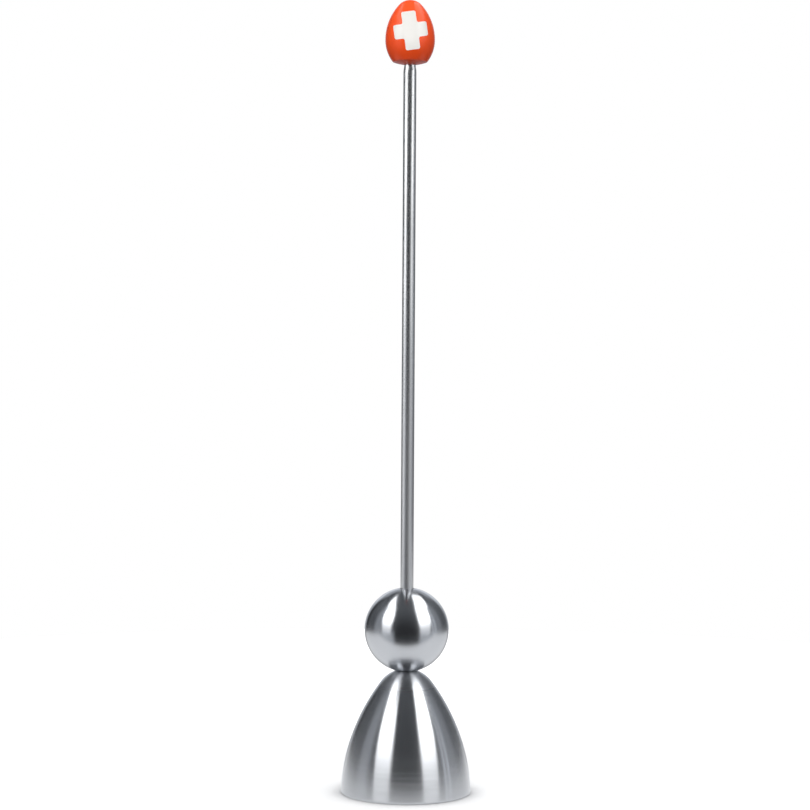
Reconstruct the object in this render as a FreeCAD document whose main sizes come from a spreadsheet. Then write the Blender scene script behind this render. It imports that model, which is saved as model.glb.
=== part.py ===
"""Egg topper: a hollow bell on a slim rod, a steel ball that slides on the rod, and an egg-shaped knob.

Lengths are in millimetres and angles in degrees. +Z runs up the rod, and the origin is the centre of
the circle on which the bell stands. The ball falls along the rod onto the bell's crown, and the bell's
rim then cracks the shell of the egg below it.
"""

import FreeCAD, Part
import math
import os

import Sketcher
from FreeCAD import Rotation, Vector

OUT_DIR = "parts"
SHEET = "Dims"

SIZES = {
    # Bell: a round crown and a long flank, which meet smoothly at the shoulder
    "bell_height": 37.6,
    "rim_radius": 20.15,
    "crown_radius": 9.75,
    "crown_land_radius": 3.4,
    "shoulder_angle": 37.3,
    "wall": 1.5,
    "crown_thickness": 3.0,
    "seat_margin": 0.5,
    "rim_round": 0.6,
    "rim_chamfer": 0.25,
    # Rod: plain between the bell and the knob, with a thread at each end
    "rod_radius": 2.0,
    "rod_length": 186.8,
    "thread_step": 0.5,
    "thread_chamfer": 0.3,
    "neck_step": 0.3,
    "neck_taper": 2.0,
    "neck_depth": 1.0,
    # Ball: a bore that runs on the rod, with a narrow flat ring round each end
    "ball_radius": 13.0,
    "ball_clearance": 0.08,
    "ball_chamfer": 0.3,
    "ball_flat_width": 0.5,
    # Fasteners inside the bell, for the rod's lower thread
    "hole_clearance": 0.1,
    "thread_clearance": 0.02,
    "flat_washer_width": 1.9,
    "flat_washer_thickness": 0.5,
    "spring_washer_width": 1.5,
    "spring_washer_thickness": 0.8,
    "spring_washer_gap": 0.6,
    "spring_washer_slant": 25.0,
    "nut_wall": 1.23,
    "nut_height": 6.0,
    "nut_hexagon_height": 2.4,
    "nut_face_inset": 0.1,
    "nut_dome_inset": 0.25,
    "nut_chamfer_angle": 30.0,
    "nut_engagement": 4.0,
    "nut_thread_relief": 0.4,
    # Knob: an egg of three arcs on a shallow domed base
    "knob_height": 19.8,
    "knob_radius": 7.65,
    "knob_widest_height": 7.6,
    "knob_base_radius": 5.3,
    "knob_base_dome": 0.8,
    "knob_tip_radius": 4.75,
    "knob_base_round": 0.4,
    "neck_clearance": 0.05,
    # Threaded insert, moulded into the knob
    "insert_wall": 0.8,
    "insert_length": 6.0,
    "insert_groove_depth": 0.3,
    "insert_groove_width": 1.2,
    "insert_relief": 0.6,
    "thread_setback": 0.5,
    # Cross in the front of the knob, laid in along a line that slopes up towards the axis
    "inlay_depth": 0.4,
    "cross_height": 9.3,
    "cross_span": 11.75,
    "cross_width": 11.2,
    "cross_arm": 4.4,
    "cross_tilt": 7.8,
    "cross_slope": 8.9,
    "cross_corner": 0.6,
}


class Size:
    """A number together with the expression that works it out from the sheet."""

    def __init__(self, value, text):
        self.value = value
        self.text = text

    def __add__(self, other):
        return Size(self.value + number(other), f"({self.text} + {words(other)})")

    def __sub__(self, other):
        return Size(self.value - number(other), f"({self.text} - {words(other)})")

    def __mul__(self, other):
        return Size(self.value * number(other), f"({self.text} * {words(other)})")

    def __rmul__(self, other):
        return self * other

    def __truediv__(self, other):
        return Size(self.value / number(other), f"({self.text} / {words(other)})")

    def __neg__(self):
        return self * -1

    def squared(self):
        return self * self


DEGREES_PER_RADIAN = Size(180.0 / math.pi, "(180.0 / pi)")
HEXAGON_HALF_ANGLE = Size(30.0, "30.0")


def number(amount):
    """The value of a Size or of a plain number."""
    return amount.value if isinstance(amount, Size) else float(amount)


def words(amount):
    """The expression of a Size or of a plain number."""
    return amount.text if isinstance(amount, Size) else f"{float(amount)}"


def size(name):
    """The driving size of that name."""
    return Size(SIZES[name], f"{SHEET}.{name}")


def root(area):
    """The square root of a Size."""
    return Size(math.sqrt(area.value), f"sqrt({area.text})")


def cosine(angle):
    """The cosine of an angle in degrees."""
    return Size(math.cos(math.radians(angle.value)), f"cos({angle.text})")


def sine(angle):
    """The sine of an angle in degrees."""
    return Size(math.sin(math.radians(angle.value)), f"sin({angle.text})")


def make_sheet(doc):
    """The spreadsheet of driving sizes: a name, a plain number and an alias on each row."""
    sheet = doc.addObject("Spreadsheet::Sheet", SHEET)
    for row, (name, value) in enumerate(SIZES.items(), start=1):
        sheet.set(f"A{row}", name)
        sheet.set(f"B{row}", str(value))
        sheet.setAlias(f"B{row}", name)
    doc.recompute()


def origin_plane(body, role):
    """A body's own origin plane, such as XZ_Plane."""
    return next(item for item in body.Origin.OriginFeatures if item.Role == role)


def place(item, height):
    """Lifts an object to a height that follows the sheet."""
    item.Placement.Base.z = number(height)
    item.setExpression("Placement.Base.z", words(height))


class Outline:
    """A closed outline in a body's XZ plane, walked counter-clockwise from its first corner.

    The first number of a corner is its distance from the body's axis and the second its height.
    """

    LEFT = 1
    RIGHT = -1

    def __init__(self, body, name, across, up):
        self.sketch = body.newObject("Sketcher::SketchObject", name)
        self.sketch.AttachmentSupport = [(origin_plane(body, "XZ_Plane"), "")]
        self.sketch.MapMode = "FlatFace"
        self.corners = [(across, up)]
        self.edges = []

    def line(self, across, up):
        """Draws a straight edge to the next corner."""
        start = self.point(-1)
        self.corners.append((across, up))
        segment = Part.LineSegment(start, self.point(-1))
        self.edges.append((self.sketch.addGeometry(segment), 1, 2))

    def arc(self, across, up, radius, centre_side=LEFT):
        """Draws an arc of under half a turn to the next corner, its centre left or right of the path."""
        start = self.point(-1)
        self.corners.append((across, up))
        end = self.point(-1)
        chord = end - start
        square_on = Vector(-chord.y, chord.x, 0).normalize() * centre_side
        reach = math.sqrt(number(radius) ** 2 - (chord.Length / 2) ** 2)
        centre = (start + end) / 2 + square_on * reach
        circle = Part.Circle(centre, Vector(0, 0, 1), number(radius))
        angles = [math.atan2(tip.y - centre.y, tip.x - centre.x) for tip in (start, end)]
        first, last = (1, 2) if centre_side == self.LEFT else (2, 1)
        curve = Part.ArcOfCircle(circle, angles[first - 1], angles[last - 1])
        index = self.sketch.addGeometry(curve)
        self.edges.append((index, first, last))
        self.drive("Radius", (index,), radius, f"radius_{index}")

    def close(self):
        """Draws the last edge back to the first corner and ties every corner to its place."""
        self.line(*self.corners[0])
        for here, after in zip(self.edges, self.edges[1:] + self.edges[:1]):
            self.sketch.addConstraint(Sketcher.Constraint("Coincident", here[0], here[2], after[0], after[1]))
        for (across, up), (index, first, _) in zip(self.corners, self.edges):
            self.fix("DistanceX", -2, (index, first), across, f"across_{index}")
            self.fix("DistanceY", -1, (index, first), up, f"up_{index}")
        return self.sketch

    def fix(self, kind, axis, corner, distance, name):
        """Ties a corner to the origin by a distance, or to an axis where that distance is nothing."""
        if number(distance) == 0:
            self.sketch.addConstraint(Sketcher.Constraint("PointOnObject", *corner, axis))
        else:
            self.drive(kind, (-1, 1, *corner), distance, name)

    def drive(self, kind, items, value, name):
        """Adds a dimension whose value follows the sheet."""
        index = self.sketch.addConstraint(Sketcher.Constraint(kind, *items, number(value)))
        self.sketch.renameConstraint(index, name)
        self.sketch.setExpression(f"Constraints.{name}", words(value))

    def point(self, index):
        """A corner as a point in the sketch's own plane."""
        across, up = self.corners[index]
        return Vector(number(across), number(up), 0)


def make_body(doc, label, height):
    """An empty PartDesign body at a height."""
    body = doc.addObject("PartDesign::Body", label)
    body.Label = label
    place(body, height)
    return body


def revolve(body, sketch):
    """Turns an outline once round the body's axis."""
    turned = body.newObject("PartDesign::Revolution", f"{body.Name}_turned")
    turned.Profile = sketch
    turned.ReferenceAxis = (sketch, ["V_Axis"])
    turned.Angle = 360.0
    sketch.Visibility = False


def circles_at(shape, radius, height):
    """Names of the round edges of that radius at that height."""
    names = []
    for index, edge in enumerate(shape.Edges, start=1):
        if edge.Degenerated or not isinstance(edge.Curve, Part.Circle):
            continue
        at_height = math.isclose(edge.Curve.Center.z, height, abs_tol=1e-6)
        if at_height and math.isclose(edge.Curve.Radius, radius, abs_tol=1e-6):
            names.append(f"Edge{index}")
    return names


def dress_edges(body, kind, amount, radius, height):
    """Rounds or chamfers the circular edge of that radius at that height."""
    body.Document.recompute()
    base = body.Tip
    feature = body.newObject(f"PartDesign::{kind}", f"{body.Name}_{kind.lower()}")
    feature.Base = (base, circles_at(base.Shape, number(radius), number(height)))
    width = "Radius" if kind == "Fillet" else "Size"
    setattr(feature, width, number(amount))
    feature.setExpression(width, words(amount))


def boolean(doc, kind, label, base, tool):
    """A Part::Cut or Part::Common of two objects."""
    result = doc.addObject(f"Part::{kind}", label)
    result.Label = label
    result.Base = base
    result.Tool = tool
    return result


def crown_centre_height():
    """Height of the centre of the crown's arc, on the axis."""
    return size("bell_height") - root(size("crown_radius").squared() - size("crown_land_radius").squared())


def washer_seat_height():
    """Height of the face under the crown that the washers press on."""
    return size("bell_height") - size("crown_thickness")


def nut_seat_height():
    """Height of the face that the cap nut presses on."""
    return washer_seat_height() - size("flat_washer_thickness") - size("spring_washer_thickness")


def thread_radius():
    """Radius of the threads at both ends of the rod."""
    return size("rod_radius") - size("thread_step")


def tapped_radius():
    """Radius of the tapped bores in the nut and the insert."""
    return thread_radius() + size("thread_clearance")


def hole_radius():
    """Radius of the plain holes that the rod's lower thread passes through."""
    return thread_radius() + size("hole_clearance")


def neck_radius():
    """Radius of the rod where it enters the knob."""
    return size("rod_radius") - size("neck_step")


def flat_washer_radius():
    """Outer radius of the flat washer."""
    return hole_radius() + size("flat_washer_width")


def insert_radius():
    """Outer radius of the knob's threaded insert."""
    return tapped_radius() + size("insert_wall")


def knob_base_height():
    """Height of the knob's lowest circle, round its neck hole."""
    return size("bell_height") + size("rod_length")


def neck_hole_radius():
    """Radius of the hole in the knob's base that takes the rod's neck."""
    return neck_radius() + size("neck_clearance")


def knob_dome_radius():
    """Radius of the arc of the knob's base, which runs from the neck hole out to the base's edge."""
    hole, base, dome = neck_hole_radius(), size("knob_base_radius"), size("knob_base_dome")
    centre_up = (base.squared() - hole.squared() + dome.squared()) / (2 * dome)
    return root(hole.squared() + centre_up.squared())


def knob_side_radius():
    """Radius of the arc of the knob's side below its widest height."""
    inwards = size("knob_radius") - size("knob_base_radius")
    rise = size("knob_widest_height") - size("knob_base_dome")
    return (inwards.squared() + rise.squared()) / (2 * inwards)


def make_bell(doc):
    """The bell: one wall thick all over, with a flat land on the crown and a washer seat inside it."""
    body = make_body(doc, "bell", 0)
    rim, height, wall = size("rim_radius"), size("bell_height"), size("wall")
    crown, centre = size("crown_radius"), crown_centre_height()
    lean_out, lean_up = cosine(size("shoulder_angle")), sine(size("shoulder_angle"))
    shoulder, shoulder_up = crown * lean_out, centre + crown * lean_up
    # The flank's arc leaves the shoulder along the crown's own tangent and ends at the rim.
    inwards = shoulder - rim
    flank = (inwards.squared() + shoulder_up.squared()) / (2 * (inwards * lean_out + shoulder_up * lean_up))
    flank_centre, flank_centre_up = shoulder - flank * lean_out, shoulder_up - flank * lean_up
    inner_flank, inner_crown = flank - wall, crown - wall
    inner_rim = flank_centre + root(inner_flank.squared() - flank_centre_up.squared())
    seat = flat_washer_radius() + size("seat_margin")

    outline = Outline(body, "bell_outline", rim, 0)
    outline.arc(shoulder, shoulder_up, flank)
    outline.arc(size("crown_land_radius"), height, crown)
    outline.line(hole_radius(), height)
    outline.line(hole_radius(), washer_seat_height())
    outline.line(seat, washer_seat_height())
    outline.line(seat, centre + root(inner_crown.squared() - seat.squared()))
    outline.arc(shoulder - wall * lean_out, shoulder_up - wall * lean_up, inner_crown, Outline.RIGHT)
    outline.arc(inner_rim, 0, inner_flank, Outline.RIGHT)
    revolve(body, outline.close())
    dress_edges(body, "Fillet", size("rim_round"), rim, 0)
    dress_edges(body, "Chamfer", size("rim_chamfer"), inner_rim, 0)
    return body


def make_rod(doc):
    """The rod: a lower thread, a shoulder on the crown, the plain length, a neck and an upper thread."""
    radius, thread, chamfer = size("rod_radius"), thread_radius(), size("thread_chamfer")
    lower_end = nut_seat_height() - size("nut_engagement")
    shoulder = size("bell_height") - lower_end
    neck = shoulder + size("rod_length")
    neck_end = neck + size("neck_depth")
    top = neck_end + size("insert_length") - size("thread_setback")

    body = make_body(doc, "rod", lower_end)
    outline = Outline(body, "rod_outline", 0, 0)
    outline.line(thread - chamfer, 0)
    outline.line(thread, chamfer)
    outline.line(thread, shoulder)
    outline.line(radius, shoulder)
    outline.line(radius, neck - size("neck_taper"))
    outline.line(neck_radius(), neck)
    outline.line(neck_radius(), neck_end)
    outline.line(thread, neck_end)
    outline.line(thread, top - chamfer)
    outline.line(thread - chamfer, top)
    outline.line(0, top)
    revolve(body, outline.close())
    return body


def make_ball(doc):
    """The ball: bored to run on the rod, with a narrow flat ring round each end of the bore."""
    radius, chamfer = size("ball_radius"), size("ball_chamfer")
    bore = size("rod_radius") + size("ball_clearance")
    flat = bore + chamfer + size("ball_flat_width")
    depth = 2 * root(radius.squared() - flat.squared())

    body = make_body(doc, "ball", size("bell_height"))
    outline = Outline(body, "ball_outline", bore + chamfer, 0)
    outline.line(flat, 0)
    outline.arc(flat, depth, radius)
    outline.line(bore + chamfer, depth)
    outline.line(bore, depth - chamfer)
    outline.line(bore, chamfer)
    revolve(body, outline.close())
    return body


def make_ring(doc, label, outer, thickness, height):
    """A flat ring that the rod's lower thread passes through."""
    body = make_body(doc, label, height)
    outline = Outline(body, f"{label}_outline", hole_radius(), 0)
    outline.line(outer, 0)
    outline.line(outer, thickness)
    outline.line(hole_radius(), thickness)
    revolve(body, outline.close())
    return body


def make_flat_washer(doc):
    """The flat washer, on the seat under the crown."""
    thickness = size("flat_washer_thickness")
    height = washer_seat_height() - thickness
    return make_ring(doc, "flat_washer", flat_washer_radius(), thickness, height)


def make_spring_washer(doc):
    """The spring washer, tightened flat between the flat washer and the nut, with its slanted split."""
    outer = hole_radius() + size("spring_washer_width")
    gap, slant = size("spring_washer_gap"), size("spring_washer_slant")
    ring = make_ring(doc, "spring_washer_ring", outer, size("spring_washer_thickness"), nut_seat_height())
    middle = nut_seat_height() + size("spring_washer_thickness") / 2

    # The split is cut by a thin slab, turned about the middle of the ring's thickness.
    split = doc.addObject("Part::Box", "spring_washer_split")
    split.Placement.Rotation = Rotation(Vector(1, 0, 0), number(slant))
    split.setExpression("Placement.Rotation.Angle", slant.text)
    split.setExpression("Length", outer.text)
    split.setExpression("Width", gap.text)
    split.setExpression("Height", (2 * outer).text)
    split.setExpression("Placement.Base.y", (outer * sine(slant) - gap / 2 * cosine(slant)).text)
    split.setExpression("Placement.Base.z", (middle - outer * cosine(slant) - gap / 2 * sine(slant)).text)
    return boolean(doc, "Cut", "spring_washer", ring, split)


def make_cap_nut(doc):
    """The cap nut: a domed, blind nut, turned first and then cut to a hexagon."""
    height, slope, bore = size("nut_height"), size("nut_chamfer_angle"), tapped_radius()
    flat = bore + size("nut_wall")
    corner = flat / cosine(HEXAGON_HALF_ANGLE)
    face, dome = flat - size("nut_face_inset"), flat - size("nut_dome_inset")
    hexagon = height - size("nut_hexagon_height")
    bevel = (corner - face) * sine(slope) / cosine(slope)
    bore_end = height - size("nut_engagement") - size("nut_thread_relief")
    place_height = nut_seat_height() - height

    turned = make_body(doc, "cap_nut_blank", place_height)
    outline = Outline(turned, "cap_nut_outline", 0, 0)
    outline.arc(dome, dome, dome)
    outline.line(dome, hexagon)
    outline.line(face, hexagon)
    outline.line(corner, hexagon + bevel)
    outline.line(corner, height - bevel)
    outline.line(face, height)
    outline.line(bore, height)
    outline.line(bore, bore_end)
    outline.line(0, bore_end)
    revolve(turned, outline.close())

    prism = doc.addObject("Part::Prism", "cap_nut_hexagon")
    prism.Polygon = 6
    prism.setExpression("Circumradius", corner.text)
    prism.setExpression("Height", height.text)
    place(prism, place_height)
    return boolean(doc, "Common", "cap_nut", turned, prism)


def egg_side(outline, inset):
    """Draws the knob's side from its base's edge to its tip, inset by a depth from the outer surface."""
    widest, widest_up = size("knob_radius"), size("knob_widest_height")
    tip = size("knob_tip_radius")
    tip_up = size("knob_height") - tip
    above = tip_up - widest_up
    upper = (widest.squared() + above.squared() - tip.squared()) / (2 * (widest - tip))
    # The tip's arc carries on from the side's arc where the line through both centres meets them.
    join = (tip - inset) / (upper - tip)
    outline.arc(widest - inset, widest_up, knob_side_radius() - inset)
    outline.arc((upper - widest) * join, tip_up + above * join, upper - inset)
    outline.arc(0, size("knob_height") - inset, tip - inset)


def make_knob_blank(doc):
    """The turned egg with its bores, before the cross is cut into it."""
    neck_hole, seat = neck_hole_radius(), size("neck_depth")
    bore_end = seat + size("insert_length") + size("insert_relief")

    body = make_body(doc, "knob_blank", knob_base_height())
    outline = Outline(body, "knob_outline", neck_hole, 0)
    outline.arc(size("knob_base_radius"), size("knob_base_dome"), knob_dome_radius())
    egg_side(outline, 0)
    outline.line(0, bore_end)
    outline.line(insert_radius(), bore_end)
    outline.line(insert_radius(), seat)
    outline.line(neck_hole, seat)
    revolve(body, outline.close())
    dress_edges(body, "Fillet", size("knob_base_round"), size("knob_base_radius"), size("knob_base_dome"))
    return body


def make_knob_core(doc):
    """The egg that is left under the cross: the knob, one inlay depth smaller all round."""
    inset, widest, lower = size("inlay_depth"), size("knob_radius"), knob_side_radius()
    foot = size("knob_base_dome") + inset
    rise = size("knob_widest_height") - foot
    across = widest - lower + root((lower - inset).squared() - rise.squared())

    body = make_body(doc, "knob_core", knob_base_height())
    outline = Outline(body, "knob_core_outline", 0, foot)
    outline.line(across, foot)
    egg_side(outline, inset)
    revolve(body, outline.close())
    return body


def make_cross_punch(doc):
    """A cross-shaped bar from the knob's axis out through its front, which gives the inlay its edges."""
    span, arm, radius = size("cross_span"), size("cross_arm"), size("knob_radius")
    # The cross's width is measured along the knob's surface, which is round sideways.
    half_turn = DEGREES_PER_RADIAN * size("cross_width") / (2 * radius)
    width = 2 * radius * sine(half_turn)
    slope = sine(size("cross_slope")) / cosine(size("cross_slope"))
    across = [0, width / 2 - arm / 2, width / 2 + arm / 2, width]
    up = [0, span / 2 - arm / 2, span / 2 + arm / 2, span]
    # Corners as steps along those two scales, counter-clockwise from the foot of the cross.
    steps = [(1, 0), (2, 0), (2, 1), (3, 1), (3, 2), (2, 2), (2, 3), (1, 3), (1, 2), (0, 2), (0, 1), (1, 1)]

    body = make_body(doc, "cross_punch", knob_base_height() + size("cross_height") + radius * slope)
    outline = Outline(body, "cross_outline", across[steps[0][0]], up[steps[0][1]])
    for column, row in steps[1:]:
        outline.line(across[column], up[row])
    sketch = outline.close()
    sketch.setExpression("AttachmentOffset.Base.x", (-width / 2).text)
    sketch.setExpression("AttachmentOffset.Base.y", (-span / 2).text)
    bar = body.newObject("PartDesign::Pad", "cross_bar")
    bar.Profile = sketch
    bar.setExpression("Length", (2 * radius).text)
    bar.UseCustomVector = True
    bar.AlongSketchNormal = True
    bar.Direction = Vector(0, -1, -number(slope))
    bar.setExpression("Direction.z", (-slope).text)
    doc.recompute()
    edges = [
        f"Edge{index}"
        for index, edge in enumerate(bar.Shape.Edges, start=1)
        if abs(edge.tangentAt(edge.FirstParameter).y) > 0.5
    ]
    corners = body.newObject("PartDesign::Fillet", "cross_corners")
    corners.Base = (bar, edges)
    corners.setExpression("Radius", size("cross_corner").text)
    tilt = size("cross_tilt")
    body.Placement.Rotation = Rotation(Vector(0, -1, 0), number(tilt))
    body.setExpression("Placement.Rotation.Angle", words(tilt))
    return body


def make_knob(doc):
    """The knob, and the cross let flush into its front."""
    blank = make_knob_blank(doc)
    front = boolean(doc, "Common", "cross_front", blank, make_cross_punch(doc))
    inlay = boolean(doc, "Cut", "cross_inlay", front, make_knob_core(doc))
    return [boolean(doc, "Cut", "knob", blank, inlay), inlay]


def make_knob_insert(doc):
    """The threaded insert: a bush with a groove round its middle, seated where the rod's neck ends."""
    radius, length, bore = insert_radius(), size("insert_length"), tapped_radius()
    groove = radius - size("insert_groove_depth")
    groove_low = length / 2 - size("insert_groove_width") / 2
    groove_high = length / 2 + size("insert_groove_width") / 2

    body = make_body(doc, "knob_insert", knob_base_height() + size("neck_depth"))
    outline = Outline(body, "insert_outline", bore, 0)
    outline.line(radius, 0)
    outline.line(radius, groove_low)
    outline.line(groove, groove_low)
    outline.line(groove, groove_high)
    outline.line(radius, groove_high)
    outline.line(radius, length)
    outline.line(bore, length)
    revolve(body, outline.close())
    return body


def check(doc, subparts):
    """Stops the build if any object failed, a sketch is loose or a sub-part isn't one sound solid."""
    for item in doc.Objects:
        if "Invalid" in item.State or "Error" in item.State:
            raise RuntimeError(f"{item.Label}: {item.State}")
        if item.TypeId == "Sketcher::SketchObject" and not item.FullyConstrained:
            raise RuntimeError(f"{item.Label} is not fully constrained")
    for item in subparts:
        if item.Shape.isNull() or not item.Shape.isValid() or len(item.Shape.Solids) != 1:
            raise RuntimeError(f"{item.Label} is not one valid solid")


def main():
    """Builds and checks the whole model, and writes each sub-part to its own file."""
    os.makedirs(OUT_DIR, exist_ok=True)
    doc = FreeCAD.newDocument("EggTopper")
    make_sheet(doc)
    subparts = [
        make_bell(doc),
        make_rod(doc),
        make_ball(doc),
        make_flat_washer(doc),
        make_spring_washer(doc),
        make_cap_nut(doc),
        *make_knob(doc),
        make_knob_insert(doc),
    ]
    doc.recompute()
    check(doc, subparts)
    for item in subparts:
        item.Shape.exportStep(os.path.join(OUT_DIR, f"{item.Label}.step"))


main()
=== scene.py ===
"""Egg topper, dressed for its picture: turned bell and ball, drawn rod, fasteners and a lacquered knob.

Lengths are in metres and angles in degrees. The frame's +Z runs up the rod from the bell's rim, and -Y
is the front, where the cross is. Every turned piece is drawn as a chain of edges in the plane y = 0,
its profile, and then turned about the Z axis.
"""

import logging
import math
from dataclasses import dataclass
from enum import Enum

import bmesh
import bpy
from mathutils import Matrix, Vector


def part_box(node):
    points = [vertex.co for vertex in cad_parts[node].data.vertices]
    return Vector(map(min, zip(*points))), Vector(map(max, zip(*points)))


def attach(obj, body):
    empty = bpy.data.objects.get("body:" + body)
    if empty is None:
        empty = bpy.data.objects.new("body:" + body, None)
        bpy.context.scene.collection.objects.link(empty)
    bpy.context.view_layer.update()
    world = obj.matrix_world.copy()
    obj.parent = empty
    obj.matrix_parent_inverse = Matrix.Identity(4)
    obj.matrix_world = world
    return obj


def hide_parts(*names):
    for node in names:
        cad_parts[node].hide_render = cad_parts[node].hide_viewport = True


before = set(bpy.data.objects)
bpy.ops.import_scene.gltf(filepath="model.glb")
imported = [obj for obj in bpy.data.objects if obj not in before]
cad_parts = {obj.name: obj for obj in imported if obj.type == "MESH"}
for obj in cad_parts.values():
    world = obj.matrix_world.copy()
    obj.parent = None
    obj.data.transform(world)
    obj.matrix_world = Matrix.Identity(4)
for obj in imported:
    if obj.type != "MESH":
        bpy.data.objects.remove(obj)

MERGE_DISTANCE = 1e-7
SHARP_ANGLE = 28.0

Colour = tuple[float, float, float]
Log = logging.getLogger("egg_topper")


class Body(Enum):
    """The bodies that a piece can ride on."""

    STEM = "stem"
    BALL = "ball"


class Slot(Enum):
    """The record's material slots."""

    TURNED_STEEL = "turned_steel"
    DRAWN_STEEL = "drawn_steel"
    FASTENER_STEEL = "fastener_steel"
    RED_LACQUER = "red_lacquer"
    WHITE_LACQUER = "white_lacquer"
    INSERT_BRASS = "insert_brass"


class Side(Enum):
    """Which side of the studio something stands on, seen from the camera."""

    LEFT = -1
    RIGHT = 1


# ---------------------------------------------------------------------------------------------------
# Shader maths
# ---------------------------------------------------------------------------------------------------


class Value:
    """A number that varies over a surface: a shader socket that takes part in Python expressions."""

    def __init__(self, canvas: "Canvas", socket: bpy.types.NodeSocket) -> None:
        """Wraps a socket of a canvas's node tree."""
        self.canvas = canvas
        self.socket = socket

    def math(self, operation: str, *others: "Value | float") -> "Value":
        """Adds a Math node whose first input is this value.

        Args:
            operation: The Math node's operation.
            others: Its other inputs.

        Returns:
            The result.
        """
        return self.canvas.math(operation, self, *others)

    def __add__(self, other: "Value | float") -> "Value":
        """This value plus another."""
        return self.canvas.math("ADD", self, other)

    __radd__ = __add__

    def __sub__(self, other: "Value | float") -> "Value":
        """This value less another."""
        return self.canvas.math("SUBTRACT", self, other)

    def __rsub__(self, other: float) -> "Value":
        """A number less this value."""
        return self.canvas.math("SUBTRACT", other, self)

    def __mul__(self, other: "Value | float") -> "Value":
        """This value times another."""
        return self.canvas.math("MULTIPLY", self, other)

    __rmul__ = __mul__

    def __truediv__(self, other: "Value | float") -> "Value":
        """This value divided by another."""
        return self.canvas.math("DIVIDE", self, other)


class Canvas:
    """A node tree to which nodes are added one call at a time."""

    def __init__(self, tree: bpy.types.NodeTree) -> None:
        """Empties a node tree and keeps it."""
        tree.nodes.clear()
        self.tree = tree

    def node(self, kind: str, settings: dict | None = None, inputs: dict | None = None) -> bpy.types.Node:
        """Adds a node.

        Args:
            kind: The node's type.
            settings: Its properties, set first. "stops" gives a ramp's stops as (place, grey) pairs.
            inputs: Values or links of its sockets, by the socket's name or number.

        Returns:
            The node.
        """
        node = self.tree.nodes.new(kind)
        for name, setting in (settings or {}).items():
            if name == "stops":
                self.set_stops(node.color_ramp, setting)
            else:
                setattr(node, name, setting)
        for name, value in (inputs or {}).items():
            source = value.socket if isinstance(value, Value) else value
            if isinstance(source, bpy.types.NodeSocket):
                self.tree.links.new(source, node.inputs[name])
            else:
                node.inputs[name].default_value = source
        return node

    @staticmethod
    def set_stops(ramp: bpy.types.ColorRamp, stops: list[tuple[float, float]]) -> None:
        """Gives a ramp its stops.

        Args:
            ramp: The ramp, which has two stops so far.
            stops: (place, grey) pairs in rising order, two or more.
        """
        while len(ramp.elements) < len(stops):
            ramp.elements.new(1.0)
        for element, (place, grey) in zip(ramp.elements, stops):
            element.position = place
            element.color = (grey, grey, grey, 1.0)

    def value(
        self, kind: str, settings: dict | None = None, inputs: dict | None = None, output: str | int = 0
    ) -> Value:
        """Adds a node as node() does and returns one of its outputs as a value."""
        return Value(self, self.node(kind, settings, inputs).outputs[output])

    def math(self, operation: str, *terms: Value | float) -> Value:
        """Adds a Math node.

        Args:
            operation: The node's operation.
            terms: Its inputs in order.

        Returns:
            The result.
        """
        return self.value("ShaderNodeMath", {"operation": operation}, dict(enumerate(terms)))

    def split(self, vector: bpy.types.NodeSocket | Value) -> tuple[Value, Value, Value]:
        """The three coordinates of a vector."""
        node = self.node("ShaderNodeSeparateXYZ", inputs={0: vector})
        return tuple(Value(self, socket) for socket in node.outputs)

    def vector(self, x: Value | float, y: Value | float, z: Value | float) -> Value:
        """A vector of three coordinates."""
        return self.value("ShaderNodeCombineXYZ", inputs={0: x, 1: y, 2: z})

    def noise(self, place: Value, scale: float, detail: float = 2.0) -> Value:
        """A Noise Texture at a place, from 0 to 1."""
        return self.value("ShaderNodeTexNoise", inputs={"Vector": place, "Scale": scale, "Detail": detail})

    def step(self, value: Value, low: float, high: float) -> Value:
        """A smooth step from 0 where the value is low to 1 where it is high."""
        settings = {"interpolation_type": "SMOOTHSTEP"}
        return self.value("ShaderNodeMapRange", settings, {"Value": value, "From Min": low, "From Max": high})

    def band(self, value: Value, low: float, high: float, edge: float) -> Value:
        """1 between low and high and 0 outside, with soft edges.

        Args:
            value: What is tested.
            low: The middle of the lower edge.
            high: The middle of the upper edge.
            edge: Half of each edge's width.

        Returns:
            The band.
        """
        rise = self.step(value, low - edge, low + edge)
        fall = self.step(value, high - edge, high + edge)
        return rise * (1 - fall)

    def mix(self, factor: Value | float, first: Colour | Value, second: Colour | Value) -> Value:
        """A colour between two colours."""
        inputs = {0: factor, 6: opaque(first), 7: opaque(second)}
        return self.value("ShaderNodeMix", {"data_type": "RGBA"}, inputs, output=2)


def opaque(colour: Colour | Value) -> tuple[float, float, float, float] | Value:
    """A colour with full alpha, or the value itself where it is a socket already."""
    return colour if isinstance(colour, Value) else (*colour, 1.0)


# ---------------------------------------------------------------------------------------------------
# Finishes
# ---------------------------------------------------------------------------------------------------


@dataclass(frozen=True)
class LatheArc:
    """The arc that the lathe's tool followed: a point of a profile and the arc's radius.

    The distance along this arc numbers the turned lines, so that they lie across the profile at an even
    spacing, up to the poles of a ball.
    """

    centre_radius: float
    centre_height: float
    radius: float


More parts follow.
